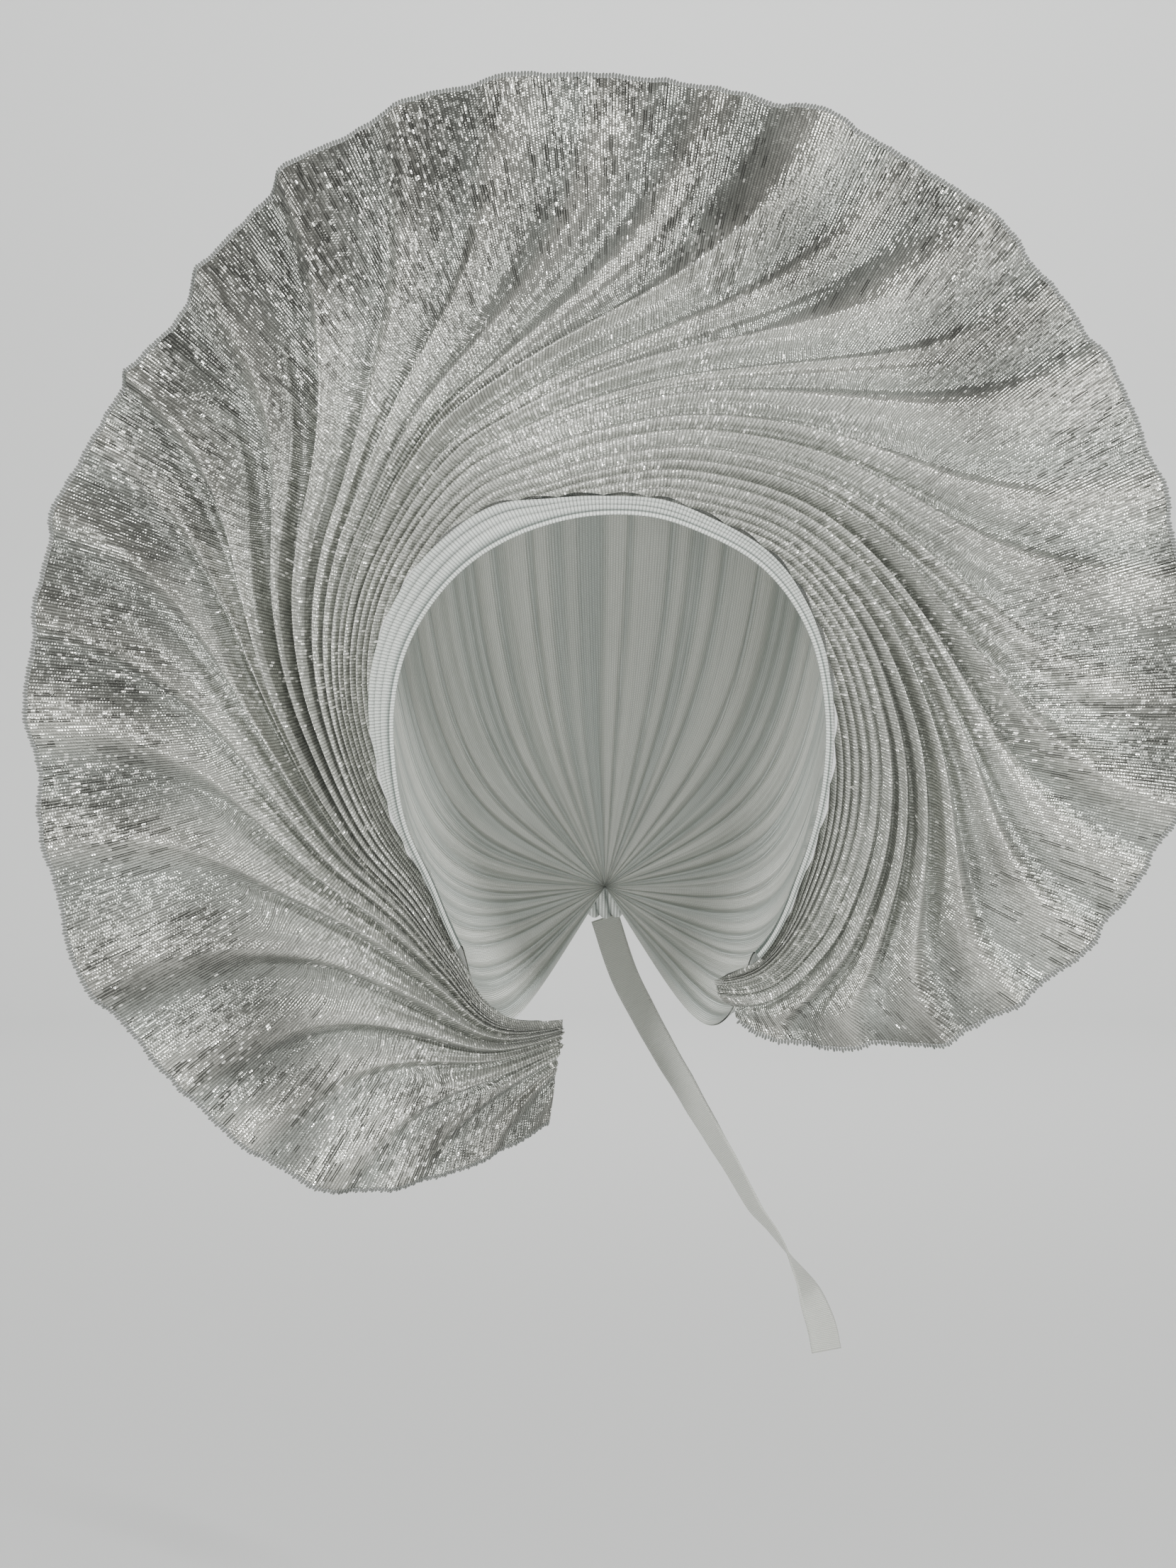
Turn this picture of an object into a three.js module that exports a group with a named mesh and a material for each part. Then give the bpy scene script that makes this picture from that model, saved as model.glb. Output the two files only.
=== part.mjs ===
// Tied gele head tie: a pleated fan round the face opening, a folded headband inside it,
// the cloth over the crown, the knot at the nape and the twisted tie that hangs from it.
// Millimetres and degrees, +Z up, the face opening looks along -Y, +X is the wearer's left.
// The origin is the middle of the head hollow, behind the forehead.
import * as THREE from 'three';

// Driving dimensions
const seatGap = 0.3;          // clear gap between neighbouring pieces
const fanReach = 215;         // outer edge from the middle, where the outline share is 1
const fanWall = 1.6;          // cloth of the fan, both sides and the air between
const fanDepth = 50;          // how far the outer edge lies behind the forehead edge at the top
const flareFade = 0.6;        // share of the fan's width over which its flare levels off
const ridgeHeight = 1.3;      // tight pleats round the face
const foldHeight = 10;        // tallest fold half way out, where the fold share is 1
const ruffleHeight = 6.5;     // tallest fold at the outer edge, where the edge share is 1
const scallopShare = 0.45;    // how far a fold pushes the edge out, for each mm it stands forward
const trailAngle = 140;       // how far round the face a pleat runs before it has left the rim
const trailFade = 0.21;       // share of the fan's width over which that angle fades
const pleatStep = 10.5;       // angle between the pleats that only show round the face
const headHalfWidth = 80;     // head hollow, where the seat share is 1
const headFrontLength = 105;  // half depth of the head's form in front of its widest section
const headBackLength = 88;    // half depth behind it
const headWidestDepth = 10;   // where the widest section lies
const headPower = 2.5;        // 2 is an ellipse, more is boxier
const napeDrop = 70;          // how far the back of the head lies below the middle
const rimDepth = 78;          // forehead edge in front of the middle, where the front share is 1
const bandDepth = 13;         // folded headband, front to back, where its share is 1
const bandHeight = 7;         // folded headband, how far it stands off the head, share 1
const bandRoll = 1.8;         // its rolled front edge
const bandLayers = 3;         // overlapping layers of the headband
const layerStep = 1.1;        // how far each layer stands over the next
const wrapWall = 1.6;         // cloth over the crown
const fanStart = 262;         // hidden end of the fan behind the neck, wearer's right
const fanEnd = -68;           // hidden end of the fan behind the neck, wearer's left
const wrapStart = 238;        // lower edges of the crown cloth and the headband
const wrapEnd = -58;
const knotHalfWidth = 17;
const knotHalfDepth = 9;
const knotHalfHeight = 13;
const tailDrop = 170;         // tie, from the knot down to its end
const tailSwing = 88;         // how far it swings out to the wearer's left
const tailForward = 52;       // how far it comes forward
const tailWidth = 12;
const tailWall = 1.6;

// Outer edge of the fan by angle: its distance from the middle as a share of fanReach, and
// how far back it lies as a share of fanDepth, 0 being level with the middle
const outline = [
  { angle: 262, reach: 0.750, back: 0.96 },
  { angle: 256, reach: 0.812, back: 0.66 },
  { angle: 250, reach: 0.877, back: 0.44 },
  { angle: 241, reach: 0.958, back: 0.24 },
  { angle: 230, reach: 0.985, back: 0.08 },
  { angle: 218, reach: 0.985, back: -0.04 },
  { angle: 207, reach: 1.006, back: -0.14 },
  { angle: 196, reach: 0.992, back: -0.20 },
  { angle: 186, reach: 0.978, back: -0.25 },
  { angle: 176, reach: 0.986, back: -0.29 },
  { angle: 160, reach: 0.994, back: -0.35 },
  { angle: 150, reach: 0.985, back: -0.38 },
  { angle: 141, reach: 0.978, back: -0.41 },
  { angle: 132, reach: 1.006, back: -0.43 },
  { angle: 120, reach: 1.052, back: -0.46 },
  { angle: 108, reach: 1.077, back: -0.48 },
  { angle: 98, reach: 1.080, back: -0.49 },
  { angle: 84, reach: 1.066, back: -0.50 },
  { angle: 72, reach: 1.060, back: -0.49 },
  { angle: 60, reach: 1.060, back: -0.47 },
  { angle: 50, reach: 1.050, back: -0.45 },
  { angle: 35, reach: 1.028, back: -0.40 },
  { angle: 20, reach: 1.013, back: -0.35 },
  { angle: 0, reach: 0.993, back: -0.28 },
  { angle: -10, reach: 0.980, back: -0.23 },
  { angle: -25, reach: 0.924, back: -0.11 },
  { angle: -37, reach: 0.858, back: 0.0 },
  { angle: -44, reach: 0.815, back: 0.08 },
  { angle: -50, reach: 0.755, back: 0.18 },
  { angle: -62, reach: 0.656, back: 0.52 },
  { angle: -68, reach: 0.585, back: 0.76 },
];

// Where the cloth sits on the head by angle: its distance from the middle as a share of
// headHalfWidth, its front edge in front of the middle as a share of rimDepth, and the
// headband's depth and height there as shares of bandDepth and bandHeight
const seats = [
  { angle: 262, seat: 1.560, front: -0.72, deep: 0.46, high: 0.30 },
  { angle: 250, seat: 1.530, front: -0.42, deep: 0.46, high: 0.30 },
  { angle: 238, seat: 1.320, front: -0.24, deep: 0.46, high: 0.30 },
  { angle: 225, seat: 1.150, front: 0.0, deep: 0.54, high: 0.32 },
  { angle: 210, seat: 1.065, front: 0.23, deep: 0.70, high: 0.48 },
  { angle: 195, seat: 0.994, front: 0.41, deep: 0.92, high: 0.70 },
  { angle: 180, seat: 0.956, front: 0.54, deep: 1.00, high: 0.86 },
  { angle: 165, seat: 0.928, front: 0.65, deep: 1.00, high: 0.93 },
  { angle: 150, seat: 0.892, front: 0.77, deep: 0.96, high: 0.96 },
  { angle: 135, seat: 0.861, front: 0.87, deep: 0.85, high: 0.90 },
  { angle: 120, seat: 0.831, front: 0.95, deep: 0.62, high: 0.88 },
  { angle: 107, seat: 0.815, front: 0.99, deep: 0.38, high: 0.52 },
  { angle: 90, seat: 0.815, front: 1.00, deep: 0.27, high: 0.37 },
  { angle: 75, seat: 0.829, front: 0.99, deep: 0.29, high: 0.35 },
  { angle: 60, seat: 0.846, front: 0.95, deep: 0.31, high: 0.34 },
  { angle: 40, seat: 0.902, front: 0.85, deep: 0.42, high: 0.32 },
  { angle: 20, seat: 0.941, front: 0.71, deep: 0.34, high: 0.30 },
  { angle: 0, seat: 0.972, front: 0.54, deep: 0.32, high: 0.30 },
  { angle: -20, seat: 1.040, front: 0.34, deep: 0.36, high: 0.30 },
  { angle: -40, seat: 1.170, front: 0.05, deep: 0.42, high: 0.30 },
  { angle: -58, seat: 1.370, front: -0.32, deep: 0.46, high: 0.30 },
  { angle: -68, seat: 1.400, front: -0.55, deep: 0.46, high: 0.30 },
];

// Folds of the fan by the angle at which each reaches the outer edge: how far it stands
// forward half way out and at the edge, as shares of foldHeight and ruffleHeight
const folds = [
  { exit: 255, mid: 0.15, edge: 0.15 },
  { exit: 247, mid: 0.20, edge: 0.25 },
  { exit: 240, mid: 0.40, edge: 0.50 },
  { exit: 230, mid: 0.20, edge: 0.20 },
  { exit: 221, mid: 0.60, edge: 0.45 },
  { exit: 208, mid: 0.70, edge: 0.85 },
  { exit: 193, mid: 0.55, edge: 0.50 },
  { exit: 180, mid: 0.80, edge: 0.85 },
  { exit: 171, mid: 0.30, edge: 0.30 },
  { exit: 160, mid: 0.45, edge: 0.60 },
  { exit: 152, mid: 0.15, edge: 0.05 },
  { exit: 145, mid: 0.90, edge: 0.85 },
  { exit: 133, mid: 0.80, edge: 0.80 },
  { exit: 121.5, mid: 0.80, edge: 0.80 },
  { exit: 109.5, mid: 0.70, edge: 0.75 },
  { exit: 100, mid: 0.50, edge: 0.45 },
  { exit: 90, mid: 0.30, edge: 0.10 },
  { exit: 80, mid: 0.20, edge: 0.05 },
  { exit: 70, mid: 1.00, edge: 0.90 },
  { exit: 61, mid: 0.15, edge: 0.05 },
  { exit: 52, mid: 0.85, edge: 0.55 },
  { exit: 43, mid: 0.20, edge: 0.15 },
  { exit: 35, mid: 0.60, edge: 0.50 },
  { exit: 22, mid: 0.50, edge: 0.55 },
  { exit: 13, mid: 0.60, edge: 0.50 },
  { exit: 1, mid: 0.50, edge: 0.50 },
  { exit: -9.5, mid: 0.85, edge: 1.00 },
  { exit: -17, mid: 0.40, edge: 0.30 },
  { exit: -25, mid: 0.50, edge: 0.50 },
  { exit: -35, mid: 0.60, edge: 0.50 },
  { exit: -44, mid: 0.80, edge: 0.90 },
  { exit: -53, mid: 0.50, edge: 0.40 },
  { exit: -62, mid: 0.35, edge: 0.25 },
];

// How far each fold trails round the face, as a share of trailAngle
const trails = [
  { angle: 262, share: 0.62 },
  { angle: 221, share: 0.66 },
  { angle: 178, share: 0.76 },
  { angle: 145, share: 0.88 },
  { angle: 121, share: 0.96 },
  { angle: 100, share: 1.00 },
  { angle: 70, share: 1.06 },
  { angle: 52, share: 1.05 },
  { angle: 0, share: 0.95 },
  { angle: -44, share: 0.85 },
  { angle: -68, share: 0.82 },
  { angle: -190, share: 0.80 },
];

// Route of the tie: its drop, its swing to the side and its way forward as shares of
// tailDrop, tailSwing and tailForward, and the turn of its flat face in degrees
const tieRoute = [
  { drop: 0.00, swing: 0.00, forward: 0.00, turn: 0 },
  { drop: 0.15, swing: 0.10, forward: 0.12, turn: 12 },
  { drop: 0.33, swing: 0.29, forward: 0.32, turn: 28 },
  { drop: 0.48, swing: 0.46, forward: 0.48, turn: 42 },
  { drop: 0.62, swing: 0.625, forward: 0.62, turn: 56 },
  { drop: 0.685, swing: 0.69, forward: 0.66, turn: 62 },
  { drop: 0.73, swing: 0.765, forward: 0.70, turn: 72 },
  { drop: 0.785, swing: 0.84, forward: 0.76, turn: 88 },
  { drop: 0.835, swing: 0.90, forward: 0.83, turn: 118 },
  { drop: 0.89, swing: 0.945, forward: 0.89, turn: 150 },
  { drop: 0.945, swing: 0.98, forward: 0.95, turn: 170 },
  { drop: 1.00, swing: 1.00, forward: 1.00, turn: 178 },
];

const fanRows = 13;
const wrapColumns = 36;
const wrapRows = 8;
const tieSections = 26;

const radians = (degrees) => degrees * Math.PI / 180;

function smooth(value, low, high) {
  const share = Math.min(1, Math.max(0, (value - low) / (high - low)));
  return share * share * (3 - 2 * share);
}

// A value between the rows of a table, on a smooth curve through them
function between(table, key, column, at) {
  const rising = table[0][key] < table[table.length - 1][key];
  let i = 0;
  while (i < table.length - 2 && (rising ? table[i + 1][key] < at : table[i + 1][key] > at)) {
    i += 1;
  }
  const row = (n) => table[Math.min(table.length - 1, Math.max(0, n))];
  const [before, low, high, after] = [row(i - 1), row(i), row(i + 1), row(i + 2)];
  const span = high[key] - low[key];
  const share = Math.min(1, Math.max(0, (at - low[key]) / span));
  const slope = (a, b) => (a === b ? 0 : (b[column] - a[column]) / (b[key] - a[key]) * span);
  const s2 = share * share;
  const s3 = s2 * share;
  return (2 * s3 - 3 * s2 + 1) * low[column] + (s3 - 2 * s2 + share) * slope(before, high)
    + (3 * s2 - 2 * s3) * high[column] + (s3 - s2) * slope(low, after);
}

// A point at an angle round the middle, at a distance from it and a depth behind it
function around(angle, distance, depth, drop = 0) {
  const turn = radians(angle);
  return new THREE.Vector3(distance * Math.cos(turn), depth, distance * Math.sin(turn) - drop);
}

// Head hollow: the share of its full width that is left at a depth, and its distance there
function headShare(depth, extra = 0) {
  const ahead = depth - headWidestDepth;
  const half = (ahead < 0 ? headFrontLength : headBackLength) + extra;
  const share = Math.min(1, Math.abs(ahead) / half);
  return Math.pow(1 - Math.pow(share, headPower), 1 / headPower);
}

function bandFront(angle) {
  return -rimDepth * between(seats, 'angle', 'front', angle);
}

function bandBack(angle) {
  return bandFront(angle) + bandDepth * between(seats, 'angle', 'deep', angle);
}

function headWidth(angle) {
  return headHalfWidth * between(seats, 'angle', 'seat', angle) / headShare(bandFront(angle));
}

function headAt(angle, depth) {
  return headWidth(angle) * headShare(depth);
}

// A closed sheet between two grids of points that share their outline. Each grid is a list
// of columns, and a column of one point closes its side.
function sheet(front, back) {
  const points = [];
  const numbered = [front, back].map((grid) => grid.map((column) => column.map((point) => {
    points.push(point.x, point.y, point.z);
    return points.length / 3 - 1;
  })));
  const faces = [];
  const face = (...corners) => {
    if (new Set(corners).size === 3) {
      faces.push(...corners);
    }
  };
  const at = (column, row) => column[Math.min(row, column.length - 1)];
  const cells = (grid, flip) => {
    for (let c = 0; c + 1 < grid.length; c += 1) {
      const rows = Math.max(grid[c].length, grid[c + 1].length);
      for (let r = 0; r + 1 < rows; r += 1) {
        const [a, b] = [at(grid[c], r), at(grid[c + 1], r)];
        const [d, e] = [at(grid[c], r + 1), at(grid[c + 1], r + 1)];
        const corners = flip ? [[a, d, b], [b, d, e]] : [[a, b, d], [b, e, d]];
        corners.forEach((corner) => face(...corner));
      }
    }
  };
  cells(numbered[0], false);
  cells(numbered[1], true);
  const rim = (grid) => {
    const last = grid.length - 1;
    const foot = grid.map((column) => column[0]);
    const head = grid.map((column) => column[column.length - 1]);
    return [...foot, ...grid[last].slice(1, -1), ...head.reverse(), ...grid[0].slice(1, -1).reverse()];
  };
  const [edgeFront, edgeBack] = [rim(numbered[0]), rim(numbered[1])];
  edgeFront.forEach((a, i) => {
    const next = (i + 1) % edgeFront.length;
    face(a, edgeBack[i], edgeFront[next]);
    face(edgeFront[next], edgeBack[i], edgeBack[next]);
  });
  const geometry = new THREE.BufferGeometry();
  geometry.setAttribute('position', new THREE.Float32BufferAttribute(points, 3));
  geometry.setIndex(faces);
  geometry.computeVertexNormals();
  return geometry;
}

// Fan: the angle at which a fold lies at a share of the way from the rim to the edge
const fadeLeft = Math.exp(-1 / trailFade);

function trailFull(exit) {
  return trailAngle * between(trails, 'angle', 'share', exit);
}

function foldAngle(exit, share) {
  return exit + trailFull(exit) * (Math.exp(-share / trailFade) - fadeLeft);
}

// The share of the way out at which a fold crosses an angle
function shareAt(exit, angle) {
  const left = (angle - exit) / trailFull(exit) + fadeLeft;
  return Math.min(1, Math.max(0, -trailFade * Math.log(Math.min(1, Math.max(fadeLeft, left)))));
}

// The fan's back face without its folds
const flareFull = 1 - Math.exp(-1 / flareFade);

function fanBase(angle, share) {
  const rimAt = bandBack(angle);
  const inner = headAt(angle, rimAt) + bandHeight * between(seats, 'angle', 'high', angle) + seatGap;
  const outer = fanReach * between(outline, 'angle', 'reach', angle);
  const edgeAt = fanDepth * between(outline, 'angle', 'back', angle);
  const flare = (1 - Math.exp(-share / flareFade)) / flareFull;
  return around(angle, inner + (outer - inner) * share, rimAt + (edgeAt - rimAt) * flare);
}

// The way the folds stand up: square to the fan, and at its rim forward and away from the head
const rimLean = 0.55;

function fanUp(angle, share) {
  const step = 0.01;
  const low = Math.max(0, share - step);
  const out = fanBase(angle, low + 2 * step).sub(fanBase(angle, low));
  const along = fanBase(angle + 1, share).sub(fanBase(angle - 1, share));
  const atRim = around(angle, rimLean, -1).normalize();
  return atRim.lerp(out.cross(along).normalize(), smooth(share, 0, 0.15)).normalize();
}

// Height of a fold's crest along its way out
function crestHeight(fold, share) {
  const leaves = smooth(share, 0.04, 0.28);
  const mid = fold.mid * foldHeight * (1 - smooth(share, 0.55, 1));
  const edge = fold.edge * ruffleHeight * smooth(share, 0.45, 1);
  return ridgeHeight * (1 - leaves) + leaves * (mid + edge);
}

// All folds, with the hidden ones that only show round the face, and the end of the last
const lastFold = fanEnd - trailFull(trails[trails.length - 1].angle) * (1 - fadeLeft);
const allFolds = [{ exit: fanStart, mid: 0.1, edge: 0.1 }, ...folds];
for (let exit = folds[folds.length - 1].exit - pleatStep; exit > lastFold + pleatStep / 2; exit -= pleatStep) {
  allFolds.push({ exit, mid: 0, edge: 0 });
}
allFolds.push({ exit: lastFold, mid: 0, edge: 0 });

// Across a fold: the crest falls gently to a narrow valley, then rises to the next crest.
// The valley lies half way round the face and close to the next crest in the fan.
const phases = [0, 0.4, 0.75, 1];

function valleyAt(share) {
  return 0.55 + 0.27 * smooth(share, 0.05, 0.4);
}

function makeFan() {
  const columns = [];
  const lastIndex = allFolds.length - 2;
  allFolds.slice(0, -1).forEach((fold, index) => {
    const next = allFolds[index + 1];
    phases.forEach((phase) => {
      const width = fold.exit - next.exit;
      const middle = fold.exit - width * phase * 0.8;
      const low = shareAt(middle, fanStart);
      const high = middle < fanEnd ? shareAt(middle, fanEnd) : 1;
      const column = [];
      for (let row = 0; row < fanRows; row += 1) {
        const way = (Math.exp(2.2 * row / (fanRows - 1)) - 1) / (Math.exp(2.2) - 1);
        const share = low + (high - low) * way;
        const exit = fold.exit - width * phase * valleyAt(share);
        const height = crestHeight(fold, share) * Math.cos(phase * Math.PI / 2);
        const angle = Math.min(fanStart, Math.max(fanEnd, foldAngle(exit, share)));
        const point = fanBase(angle, share);
        const up = fanUp(angle, share);
        const out = around(angle, 1, 0).multiplyScalar(scallopShare * height * smooth(share, 0.7, 1));
        column.push({ point: point.add(out), up, height });
      }
      columns.push(column);
    });
  });
  const lay = (lift) => columns.map((column, c) => {
    const laid = column.map(({ point, up, height }) => (
      point.clone().addScaledVector(up, height + lift)));
    return c === 0 ? [laid[laid.length - 1]] : laid;
  });
  return sheet(lay(fanWall), lay(0));
}

// Angles of the headband's and the crown cloth's columns, from the wearer's right to the left
const wrapAngles = Array.from({ length: wrapColumns + 1 }, (_, i) => (
  wrapStart + (wrapEnd - wrapStart) * i / wrapColumns));

// Headband: each layer starts a step above the one before and sinks to the next
function makeHeadband() {
  const ways = [];
  for (let layer = 0; layer < bandLayers; layer += 1) {
    ways.push([layer / bandLayers, 0.25], [(layer + 0.15) / bandLayers, 1], [(layer + 0.85) / bandLayers, 0.3]);
  }
  ways.push([1, 0]);
  const column = (angle, outside) => ways.map(([way, step]) => {
    const [front, back] = [bandFront(angle), bandBack(angle)];
    const depth = front + (back - front) * way;
    const share = between(seats, 'angle', 'high', angle);
    const height = bandRoll + (bandHeight * share - bandRoll) * way + layerStep * share * step;
    return around(angle, headAt(angle, depth) + (outside ? height : 0), depth);
  });
  return sheet(wrapAngles.map((angle) => column(angle, true)), wrapAngles.map((angle) => column(angle, false)));
}

// Crown cloth: from the headband's back edge over the head to one point at the nape
function makeCrownWrap() {
  const column = (angle, extra) => {
    const front = bandBack(angle) + seatGap;
    const half = (front < headWidestDepth ? headFrontLength : headBackLength) + extra;
    const first = Math.asin((front - headWidestDepth) / half);
    const points = [];
    for (let row = 0; row <= wrapRows; row += 1) {
      const turn = first + (Math.PI / 2 - first) * row / wrapRows;
      const ahead = Math.sin(turn) * ((turn < 0 ? headFrontLength : headBackLength) + extra);
      const depth = row === 0 ? front : headWidestDepth + ahead;
      const width = (headWidth(angle) + extra) * headShare(depth, extra);
      const behind = headWidestDepth + headBackLength + extra;
      const drop = napeDrop * smooth(depth, Math.max(headWidestDepth, front), behind);
      points.push(around(angle, row === wrapRows ? 0 : width, depth, drop));
    }
    return points;
  };
  const outside = wrapAngles.map((angle) => column(angle, wrapWall));
  const inside = wrapAngles.map((angle) => column(angle, 0));
  return sheet(outside, inside);
}

// Knot at the nape, on the outside of the crown cloth
const knotDepth = headWidestDepth + headBackLength + wrapWall + seatGap + knotHalfDepth;

function makeKnot() {
  const geometry = new THREE.SphereGeometry(1, 16, 10);
  geometry.scale(knotHalfWidth, knotHalfDepth, knotHalfHeight);
  return geometry;
}

// Tie: a flat strap along its route from the foot of the knot, turned about its own length
function makeTie() {
  const top = new THREE.Vector3(0, knotDepth, -napeDrop - knotHalfHeight - seatGap);
  const route = new THREE.CatmullRomCurve3(tieRoute.map(({ drop, swing, forward }) => (
    new THREE.Vector3(tailSwing * swing, -tailForward * forward, -tailDrop * drop).add(top))));
  const depthAxis = new THREE.Vector3(0, 1, 0);
  const section = (i, lift) => {
    const way = i / tieSections;
    const along = i === 0 ? new THREE.Vector3(0, 0, -1) : route.getTangentAt(way);
    const middle = route.getPointAt(way);
    const drop = (top.z - middle.z) / tailDrop;
    const turn = radians(between(tieRoute, 'drop', 'turn', drop));
    const side = along.clone().cross(depthAxis).normalize();
    const width = side.clone().multiplyScalar(Math.cos(turn))
      .addScaledVector(along.clone().cross(side), Math.sin(turn));
    const normal = along.clone().cross(width).normalize();
    return [-0.5, 0.5].map((share) => (
      middle.clone().addScaledVector(width, tailWidth * share).addScaledVector(normal, tailWall * lift)));
  };
  const sections = Array.from({ length: tieSections + 1 }, (_, i) => i);
  return sheet(sections.map((i) => section(i, 0.5)), sections.map((i) => section(i, -0.5)));
}

const lame = new THREE.MeshStandardMaterial({ color: 0xaeb3af, roughness: 0.35, metalness: 0.55 });
const paleLame = new THREE.MeshStandardMaterial({ color: 0xc8d6d2, roughness: 0.45, metalness: 0.4 });
const tieCloth = new THREE.MeshStandardMaterial({ color: 0xbdbeb7, roughness: 0.6, metalness: 0.15 });

const headTie = new THREE.Group();
function add(name, geometry, material) {
  const mesh = new THREE.Mesh(geometry, material);
  mesh.name = name;
  headTie.add(mesh);
  return mesh;
}
add('fan', makeFan(), lame);
add('headband', makeHeadband(), paleLame);
add('crown_wrap', makeCrownWrap(), lame);
add('nape_knot', makeKnot(), paleLame).position.set(0, knotDepth, -napeDrop);
add('tie_tail', makeTie(), tieCloth);

export default headTie;
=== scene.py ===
import math
import bmesh
import bpy
import numpy as np
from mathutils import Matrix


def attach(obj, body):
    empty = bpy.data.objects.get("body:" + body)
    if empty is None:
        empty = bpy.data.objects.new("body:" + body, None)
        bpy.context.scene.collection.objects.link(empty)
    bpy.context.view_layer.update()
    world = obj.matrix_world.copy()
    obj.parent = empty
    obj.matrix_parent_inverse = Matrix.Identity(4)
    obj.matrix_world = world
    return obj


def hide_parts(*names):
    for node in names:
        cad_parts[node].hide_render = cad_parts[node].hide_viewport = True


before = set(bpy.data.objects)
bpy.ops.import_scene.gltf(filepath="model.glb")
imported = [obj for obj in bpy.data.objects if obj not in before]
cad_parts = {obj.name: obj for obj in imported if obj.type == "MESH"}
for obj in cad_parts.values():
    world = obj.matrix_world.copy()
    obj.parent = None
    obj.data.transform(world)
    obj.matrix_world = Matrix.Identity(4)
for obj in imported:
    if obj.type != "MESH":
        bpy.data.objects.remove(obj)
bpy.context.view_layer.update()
metresPerMm = 0.001


# Sizes are in millimetres and angles in degrees, and an angle runs round the face from the
# wearer's left over the top. The outline, seats, trails and tieRoute tables are the same as for
# the solids. The folds table and the cloth's thickness are this script's own: 13 folds differ
# from the solids', most of them lower, the fan is one layer, the crown cloth and the tape are
# thinner, and the ridges round the face and the headband's layers stand higher.


def smooth(value, low, high):
    # an S-shaped step from 0 at low to 1 at high
    share = np.clip((value - low) / (high - low), 0, 1)
    return share * share * (3 - 2 * share)


def between(rows, column, at):
    # a cubic curve through the rows, whose slope at a row is that between its neighbours
    keys, values = rows[::-1, 0], rows[::-1, column]
    at = np.asarray(at, float)
    low = np.clip(np.searchsorted(keys, at, "right") - 1, 0, len(keys) - 2)
    high, before, after = low + 1, np.maximum(low - 1, 0), np.minimum(low + 2, len(keys) - 1)
    span = keys[high] - keys[low]
    t = np.clip((at - keys[low]) / span, 0, 1)
    slopeLow = (values[high] - values[before]) / (keys[high] - keys[before]) * span
    slopeHigh = (values[after] - values[low]) / (keys[after] - keys[low]) * span
    return ((2 * t**3 - 3 * t**2 + 1) * values[low] + (t**3 - 2 * t**2 + t) * slopeLow
            + (3 * t**2 - 2 * t**3) * values[high] + (t**3 - t**2) * slopeHigh)


def around(angle, distance, depth, drop=0.0):
    # a point at an angle round the middle, with x to the right, y back and z up
    turn = np.radians(angle)
    parts = np.broadcast_arrays(distance * np.cos(turn), depth, distance * np.sin(turn) - drop)
    return np.stack(parts, axis=-1)


def unit(vectors):
    # each vector over its own length
    return vectors / np.maximum(np.linalg.norm(vectors, axis=-1, keepdims=True), 1e-9)


# Head hollow: a boxy ellipse along its depth, scaled to the seat at each angle

head = {
    "halfWidth": 80, "front": 105, "back": 88, "widest": 10, "power": 2.5,
    "napeDrop": 70, "rimDepth": 78, "start": 238, "end": -58,
}
# Seat on the head: angle, distance share, front edge share, band depth and height shares
seats = np.array([
    (262, 1.560, -0.72, 0.46, 0.30), (250, 1.530, -0.42, 0.46, 0.30),
    (238, 1.320, -0.24, 0.46, 0.30), (225, 1.150, 0.0, 0.54, 0.32),
    (210, 1.065, 0.23, 0.70, 0.48), (195, 0.994, 0.41, 0.92, 0.70),
    (180, 0.956, 0.54, 1.00, 0.86), (165, 0.928, 0.65, 1.00, 0.93),
    (150, 0.892, 0.77, 0.96, 0.96), (135, 0.861, 0.87, 0.85, 0.90),
    (120, 0.831, 0.95, 0.62, 0.88), (107, 0.815, 0.99, 0.38, 0.52),
    (90, 0.815, 1.00, 0.27, 0.37), (75, 0.829, 0.99, 0.29, 0.35),
    (60, 0.846, 0.95, 0.31, 0.34), (40, 0.902, 0.85, 0.42, 0.32),
    (20, 0.941, 0.71, 0.34, 0.30), (0, 0.972, 0.54, 0.32, 0.30),
    (-20, 1.040, 0.34, 0.36, 0.30), (-40, 1.170, 0.05, 0.42, 0.30),
    (-58, 1.370, -0.32, 0.46, 0.30), (-68, 1.400, -0.55, 0.46, 0.30),
])


def headShare(depth):
    # Half width as a share of the widest: with d the depth from the widest section over the
    # half depth, one less d to the power, and that to one over the power
    ahead = depth - head["widest"]
    half = np.where(ahead < 0, head["front"], head["back"])
    share = np.minimum(1, np.abs(ahead) / half)
    return (1 - share ** head["power"]) ** (1 / head["power"])


def bandFront(angle):
    # depth of the headband's front edge: the rim's depth times its share at that angle
    return -head["rimDepth"] * between(seats, 2, angle)


def bandBack(angle):
    # depth of its back edge, where the fan starts
    return bandFront(angle) + band["depth"] * between(seats, 3, angle)


def headAt(angle, depth):
    # distance of the head from the middle: it meets the seat at the headband's front edge
    full = head["halfWidth"] * between(seats, 1, angle) / headShare(bandFront(angle))
    return full * headShare(depth)


# Meshes

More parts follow.
